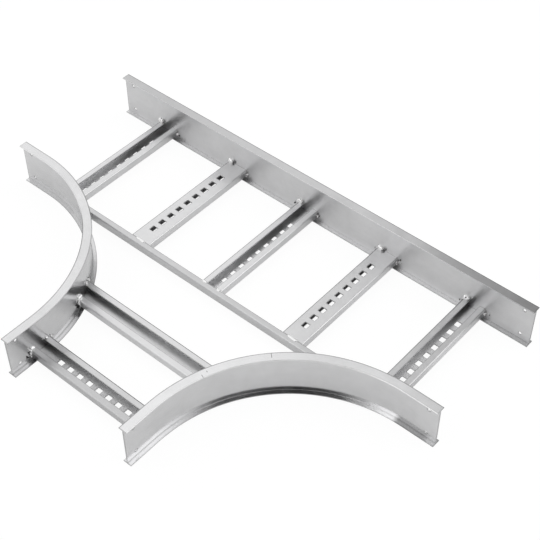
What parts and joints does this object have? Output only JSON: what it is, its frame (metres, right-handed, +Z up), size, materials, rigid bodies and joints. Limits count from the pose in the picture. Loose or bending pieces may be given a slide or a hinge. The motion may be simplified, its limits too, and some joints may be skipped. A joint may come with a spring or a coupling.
{
  "type": "cable tray tee",
  "caption": "Horizontal tee for a ladder cable tray: a straight rail, curved rails and channel rungs carry cables along a run and into a side branch.",
  "frame": {"origin": "centre of the footprint on the plane under the rails' bottom flanges", "axes": "+X along the straight rail, +Y from the branch towards the straight rail, +Z up"},
  "size_m": [1.0798, 0.7018, 0.0984],
  "materials": {
    "rail_metal": "mill finish, softly mirroring",
    "rung_metal": "mill finish, satin"
  },
  "bodies": {
    "root": {"straight_rail": "rail_metal", "curved_rail_left": "rail_metal", "curved_rail_right": "rail_metal", "cross_member": "rung_metal", "rung_run_1": "rung_metal", "rung_run_2": "rung_metal", "rung_run_3": "rung_metal", "rung_run_4": "rung_metal", "rung_run_5": "rung_metal", "rung_branch_1": "rung_metal", "rung_branch_2": "rung_metal"}
  },
  "joints": []
}
